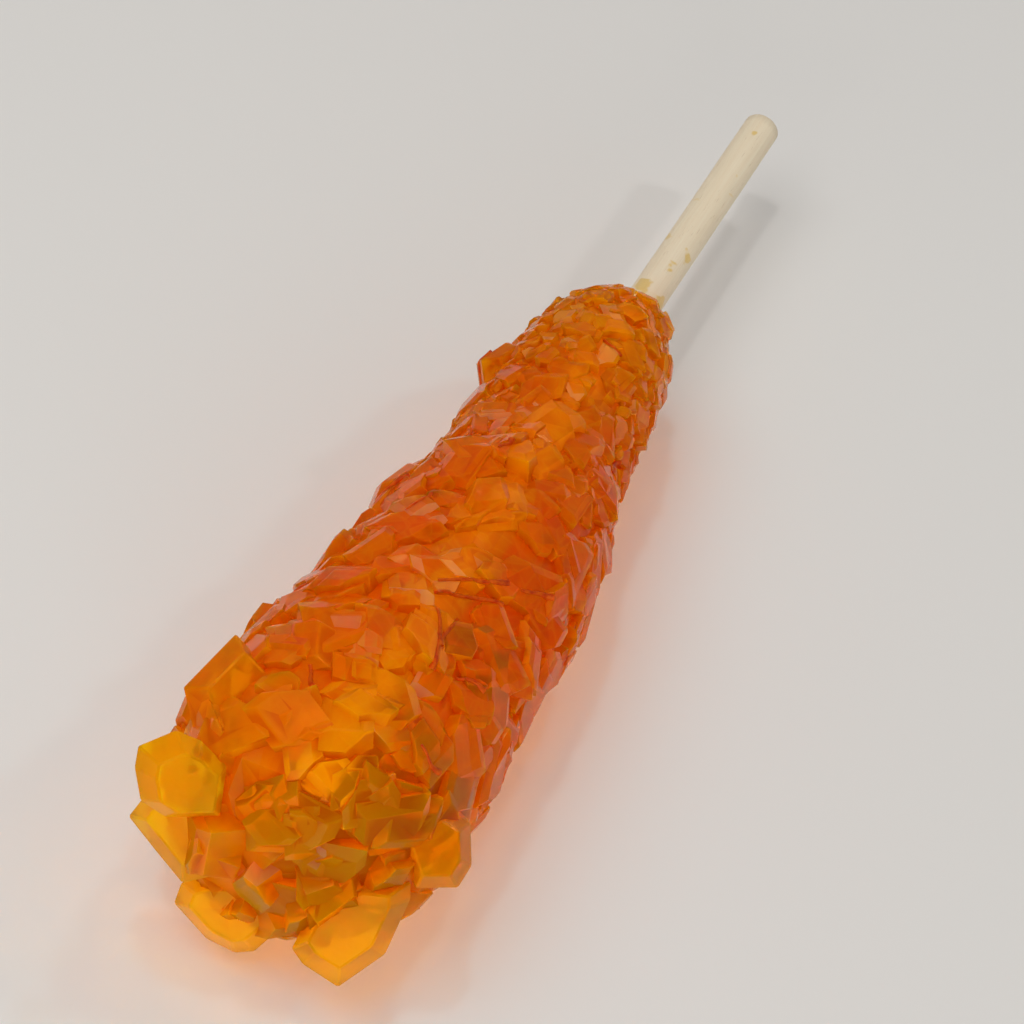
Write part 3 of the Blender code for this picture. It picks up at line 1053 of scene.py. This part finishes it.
def shader_group(name, inputs, outputs):
    """A group of shading nodes with named inputs (name, kind, value) and outputs."""
    tree = Tree(bpy.data.node_groups.new(name, "ShaderNodeTree"))
    for label, kind, value in inputs:
        tree.given(label, kind, value)
    for label, kind in outputs:
        tree.gives(label, kind)
    return tree, tree.node("NodeGroupInput").outputs, tree.node("NodeGroupOutput").inputs


def make_inner_crystals():
    """What is seen of the crystals inside the sugar: a tone for each and its fine edges."""
    tree, given, result = shader_group("inner crystals", (
        ("Place", "NodeSocketVector", None),
        ("Size", "NodeSocketFloat", 4 * MM),
        ("Edge width", "NodeSocketFloat", 0.05),
    ), (("Tone", "NodeSocketFloat"), ("Edge", "NodeSocketFloat")))
    place = tree.scaled(given["Place"], tree.maths("DIVIDE", 1.0, given["Size"]))
    cells = tree.node("ShaderNodeTexVoronoi", {"Vector": place, "Scale": 1.0})
    tone = tree.node("ShaderNodeSeparateColor", {"Color": cells.outputs["Color"]})
    borders = tree.node("ShaderNodeTexVoronoi", {
        "Vector": place, "Scale": 1.0,
    }, feature="DISTANCE_TO_EDGE")
    edge = tree.node("ShaderNodeMapRange", {
        "Value": borders.outputs["Distance"], "From Min": 0.0, "From Max": given["Edge width"],
        "To Min": 1.0, "To Max": 0.0,
    }, interpolation_type="SMOOTHSTEP")
    tree.feed(result["Tone"], tone.outputs[0])
    tree.feed(result["Edge"], edge.outputs[0])
    return tree.tree


# The sugar's colours
AMBER_DEEP = (0.82, 0.14, 0.0004)
AMBER_PALE = (0.94, 0.31, 0.0008)
INNER_EDGE = (0.95, 0.45, 0.003)
BROAD_END = (0.97, 0.47, 0.001)
NECK_END = (0.96, 0.46, 0.001)
# Painted glow: the paler colour laid where the sugar is thin, for light shining through it
THIN_SUGAR_GLOW = (1.0, 0.53, 0.002)
# Painted shade, laid where other crystals stand over a facet
SHADED_SUGAR = (0.68, 0.09, 0.0005)
CLEAR_SUGAR = (1.0, 0.60, 0.004)
# Painted glints on facets that face one way, standing for reflections
PAINTED_GLINT_COLOUR = (0.98, 0.55, 0.30)
LAMP_TINT = (0.80, 0.48, 0.10)
# How much each pattern weighs in the sugar's tone
TONE_LARGE = 0.24
TONE_SMALL = 0.26
TONE_TINT = 0.15
TONE_CLOUD = 0.25
TONE_MOTTLE = 0.35
# The painted glints, paler facets that stand for reflections: the way that they face, how closely,
# and the tints that have them
PAINTED_GLINT_WAY = Vector((-0.58, 0.10, 0.81))
PAINTED_GLINT_FACING = (0.75, 0.88)
PAINTED_GLINT_TINT = (0.85, 0.87)


def make_sugar_material():
    """Clear, slightly cloudy amber sugar, paler at both ends, with a painted glow where it is thin,
    painted shade under other crystals and painted glints on some facets.
    """
    material, tree, shader = new_material("amber sugar")
    coordinates = tree.node("ShaderNodeTexCoord").outputs
    place = coordinates["Object"]
    inner = make_inner_crystals()
    large = tree.node("ShaderNodeGroup", {"Place": place, "Size": 5.5 * MM}, node_tree=inner)
    small = tree.node("ShaderNodeGroup", {
        "Place": place, "Size": 2.2 * MM, "Edge width": 0.09,
    }, node_tree=inner)
    cloud = tree.node("ShaderNodeTexNoise", {"Vector": place, "Scale": 130.0, "Detail": 4.0})
    mottle = tree.node("ShaderNodeTexNoise", {"Vector": place, "Scale": 900.0, "Detail": 3.0})
    tone = tree.maths("MULTIPLY", large.outputs["Tone"], TONE_LARGE)
    for pattern, weight in (
        (small.outputs["Tone"], TONE_SMALL), (attribute(tree, "tint"), TONE_TINT),
        (cloud.outputs["Fac"], TONE_CLOUD), (mottle.outputs["Fac"], TONE_MOTTLE),
    ):
        tone = tree.maths("MULTIPLY_ADD", pattern, weight, tone)
    colour = colour_mix(tree, ramp_share(tree, tone, 0.30, 0.95), AMBER_DEEP, AMBER_PALE)
    edges = tree.maths("MAXIMUM", large.outputs["Edge"], small.outputs["Edge"])
    along = tree.first_axis(place)
    tip = ramp_share(tree, along, along_candy(0.32), along_candy(0.04))
    knob = ramp_share(tree, along, along_candy(0.76), along_candy(0.98))
    # Painted glow: paler where the sugar behind a facet is thin, standing for light that shines
    # through it
    thin = ramp_share(tree, attribute(tree, "depth"), 0.75, 0.12)
    # Painted shade: darker and redder where other crystals stand over a facet
    shade = ramp_share(tree, attribute(tree, "shelter"), 0.05, 0.55)
    # Painted glints: paler patches, standing for reflections, on facets of some crystals that face
    # one way
    look = tree.node("ShaderNodeVectorMath", operation="DOT_PRODUCT")
    tree.feed(look.inputs[0], coordinates["Normal"])
    tree.feed(look.inputs[1], PAINTED_GLINT_WAY)
    upper = ramp_share(tree, look.outputs["Value"], *PAINTED_GLINT_FACING)
    painted_glint = tree.maths("MULTIPLY", upper, ramp_share(tree, attribute(tree, "tint"), *PAINTED_GLINT_TINT))
    for mask, strength, over in (
        (edges, 0.16, INNER_EDGE), (tip, 0.7, BROAD_END), (knob, 0.35, NECK_END),
        (thin, 0.65, THIN_SUGAR_GLOW), (shade, 0.5, SHADED_SUGAR),
        (attribute(tree, "clear"), 0.75, CLEAR_SUGAR), (painted_glint, 0.6, PAINTED_GLINT_COLOUR),
    ):
        colour = overlaid(tree, colour, mask, strength, over)
    tree.feed(shader.inputs["Base Color"], colour)
    rough = ramp_share(tree, cloud.outputs["Fac"], 0.35, 0.65)
    tree.feed(shader.inputs["Roughness"], tree.maths("MULTIPLY_ADD", rough, 0.10, 0.08))
    bump = tree.node("ShaderNodeBump", {
        "Height": mottle.outputs["Fac"], "Distance": 0.06 * MM, "Strength": 0.5,
    })
    tree.feed(shader.inputs["Normal"], bump.outputs[0])
    shader.inputs["IOR"].default_value = 1.24
    shader.inputs["Specular IOR Level"].default_value = 0.2
    shader.inputs["Specular Tint"].default_value = (1.0, 0.70, 0.20, 1)
    shader.inputs["Subsurface Weight"].default_value = 1.0
    shader.inputs["Subsurface Radius"].default_value = (4.0, 3.0, 1.0)
    shader.inputs["Subsurface Scale"].default_value = 1.0 * MM
    shader.inputs["Transmission Weight"].default_value = 0.70
    let_lamps_through(tree, material, shader)
    return material


def make_grain():
    """Streaks that run along the first axis: a tone from 0 to 1."""
    tree, given, result = shader_group("grain", (
        ("Place", "NodeSocketVector", None),
        ("Streak length", "NodeSocketFloat", 12 * MM),
        ("Streak width", "NodeSocketFloat", 0.5 * MM),
    ), (("Tone", "NodeSocketFloat"),))
    across = tree.maths("DIVIDE", 1.0, given["Streak width"])
    stretch = tree.node("ShaderNodeCombineXYZ", {
        "X": tree.maths("DIVIDE", 1.0, given["Streak length"]), "Y": across, "Z": across,
    })
    place = tree.node("ShaderNodeVectorMath", operation="MULTIPLY")
    tree.feed(place.inputs[0], given["Place"])
    tree.feed(place.inputs[1], stretch.outputs[0])
    streaks = tree.node("ShaderNodeTexNoise", {
        "Vector": place.outputs[0], "Scale": 1.0, "Detail": 4.0, "Roughness": 0.6,
    })
    tone = ramp_share(tree, streaks.outputs["Fac"], 0.30, 0.70)
    tree.feed(result["Tone"], tone)
    return tree.tree


# The wood's colours
BIRCH_DEEP = (0.90, 0.74, 0.52)
BIRCH_PALE = (0.97, 0.86, 0.65)
PORE = (0.46, 0.29, 0.15)
END_GRAIN_DEEP = (0.50, 0.27, 0.10)
END_GRAIN_PALE = (0.86, 0.58, 0.30)
WET_WOOD = (0.76, 0.50, 0.13)
STAIN = (0.84, 0.56, 0.10)


def make_wood_material():
    """Pale birch, wet with syrup at the neck and stained in spots past it."""
    material, tree, shader = new_material("birch")
    local = tree.node("ShaderNodeAttribute", attribute_name="grain").outputs["Vector"]
    grain = make_grain()
    broad, fine, pores = (
        tree.node("ShaderNodeGroup", {
            "Place": local, "Streak length": length * MM, "Streak width": width * MM,
        }, node_tree=grain).outputs["Tone"]
        for length, width in ((25, 1.1), (7, 0.22), (2.2, 0.16))
    )
    tone = tree.maths("MULTIPLY_ADD", fine, 0.5, tree.maths("MULTIPLY", broad, 0.5))
    colour = colour_mix(tree, tone, BIRCH_DEEP, BIRCH_PALE)
    colour = overlaid(tree, colour, ramp_share(tree, pores, 0.16, 0.04), 0.3, PORE)
    along = tree.first_axis(local)
    neck = (NECK - STICK_START.x) / STICK_WAY.x
    cut = ramp_share(tree, along, STICK_LENGTH - 0.30 * MM, STICK_LENGTH - 0.10 * MM)
    rings = tree.node("ShaderNodeTexNoise", {"Vector": local, "Scale": 900.0, "Detail": 3.0})
    end_grain = colour_mix(tree, rings.outputs["Fac"], END_GRAIN_DEEP, END_GRAIN_PALE)
    colour = colour_mix(tree, cut, colour, end_grain)
    wet = ramp_share(tree, along, neck + 3.5 * MM, neck - 0.5 * MM)
    colour = overlaid(tree, colour, wet, 0.7, WET_WOOD)
    spill = tree.node("ShaderNodeTexNoise", {"Vector": local, "Scale": 420.0, "Detail": 2.5})
    far = ramp_share(tree, along, neck + 1 * MM, neck + 16 * MM)
    limit = tree.maths("MULTIPLY_ADD", far, 0.16, 0.52)
    over = tree.maths("SUBTRACT", spill.outputs["Fac"], limit)
    stain = ramp_share(tree, over, 0.0, 0.05)
    colour = overlaid(tree, colour, stain, 0.7, STAIN)
    tree.feed(shader.inputs["Base Color"], colour)
    dry = tree.maths("MULTIPLY_ADD", fine, 0.12, 0.56)
    shiny = tree.maths("MAXIMUM", stain, wet)
    tree.feed(shader.inputs["Roughness"], tree.maths("MULTIPLY_ADD", shiny, -0.28, dry))
    bump = tree.node("ShaderNodeBump", {
        "Height": fine, "Distance": 0.03 * MM, "Strength": 0.6,
    })
    tree.feed(shader.inputs["Normal"], bump.outputs[0])
    return material


SAFFRON_DEEP = (0.48, 0.035, 0.001)
SAFFRON_PALE = (0.68, 0.11, 0.002)


def make_saffron_material():
    material, tree, shader = new_material("saffron")
    place = tree.node("ShaderNodeTexCoord").outputs["Object"]
    fibre = tree.node("ShaderNodeTexNoise", {"Vector": place, "Scale": 1800.0, "Detail": 3.0})
    tone = ramp_share(tree, fibre.outputs["Fac"], 0.32, 0.68)
    colour = colour_mix(tree, tone, SAFFRON_DEEP, SAFFRON_PALE)
    tree.feed(shader.inputs["Base Color"], colour)
    tree.feed(shader.inputs["Roughness"], tree.maths("MULTIPLY_ADD", tone, 0.2, 0.35))
    shader.inputs["Specular IOR Level"].default_value = 0.1
    return material


def make_floor_material():
    material, tree, shader = new_material("table")
    shader.inputs["Base Color"].default_value = (0.86, 0.85, 0.83, 1)
    shader.inputs["Roughness"].default_value = 0.7
    return material


# ---------------------------------------------------------------- stage

def make_camera():
    """The camera, which looks down past the broad end along the stick."""
    camera = link(bpy.data.objects.new("camera", bpy.data.cameras.new("camera")))
    middle = (CAD_BOX[0] + CAD_BOX[1]) / 2
    camera.location = middle + back_vector(VIEW_AZIMUTH, VIEW_ELEVATION) * VIEW_DISTANCE
    level = (camera.location - VIEW_AIM).to_track_quat("Z", "Y")
    roll = Matrix.Rotation(math.radians(VIEW_ROLL), 4, "Z")
    camera.rotation_euler = (level.to_matrix().to_4x4() @ roll).to_euler()
    camera.data.lens = VIEW_LENS
    camera.data.clip_start = 0.01
    bpy.context.scene.camera = camera


# The soft lamps and the small bright ones for the facets: name, place, size across and down,
# radiance and colour. All look at a point just over the table.
LAMPS = (
    ("key", (-0.16, 0.18, 0.50), (0.46, 0.34), 1.95, (1.0, 0.98, 0.95)),
    ("fill", (-0.50, -0.12, 0.13), (0.40, 0.24), 4.0, (1.0, 0.99, 0.97)),
    ("glint 0", (0.30, -0.02, 0.44), (0.045, 0.035), 40.0, (1.0, 0.98, 0.95)),
    ("glint 1", (0.22, -0.30, 0.38), (0.045, 0.035), 40.0, (1.0, 0.98, 0.95)),
    ("glint 2", (0.02, 0.10, 0.50), (0.045, 0.035), 40.0, (1.0, 0.98, 0.95)),
)
LAMP_AIM = Vector((0, 0, 0.01))
ROOM_COLOUR = (1.0, 0.98, 0.96, 1)
ROOM_STRENGTH = 0.24


def make_lamp(name, place, size, radiance, colour):
    light = bpy.data.lights.new(name, "AREA")
    light.shape = "RECTANGLE"
    light.size, light.size_y = size
    light.energy = radiance * math.pi * size[0] * size[1]
    light.color = colour
    lamp = link(bpy.data.objects.new(name, light))
    lamp.location = place
    lamp.rotation_euler = (LAMP_AIM - lamp.location).to_track_quat("-Z", "Y").to_euler()


def make_lights():
    for lamp in LAMPS:
        make_lamp(*lamp)
    world = bpy.data.worlds.new("room")
    world.use_nodes = True
    background = world.node_tree.nodes["Background"]
    background.inputs["Color"].default_value = ROOM_COLOUR
    background.inputs["Strength"].default_value = ROOM_STRENGTH
    scene = bpy.context.scene
    scene.world = world
    scene.view_settings.view_transform = "Standard"
    # Light scatters many times in the sugar; a little noise is let stand, to keep the render short
    scene.cycles.adaptive_threshold = 0.06
    scene.cycles.max_bounces = 8
    scene.cycles.diffuse_bounces = 3
    scene.cycles.glossy_bounces = 3
    scene.cycles.transmission_bounces = 6


def make_floor(material):
    bm = bmesh.new()
    bmesh.ops.create_grid(bm, x_segments=1, y_segments=1, size=2.0)
    floor = bmesh_object("table_top", bm)
    floor.data.materials.append(material)
    return floor


# ---------------------------------------------------------------- the whole

make_camera()
make_lights()
floor = make_floor(make_floor_material())

kinds = {kind[0]: make_kind(*kind) for kind in KINDS}
sugar = make_sugar_material()
candy = make_candy(kinds, sugar)
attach(candy, "root")
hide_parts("candy")

collar = make_neck_sugar(kinds, sugar)
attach(collar, "root")

stick = make_stick(make_wood_material())
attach(stick, "root")
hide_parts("stick")

saffron = make_saffron(candy, make_saffron_material())
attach(saffron, "root")
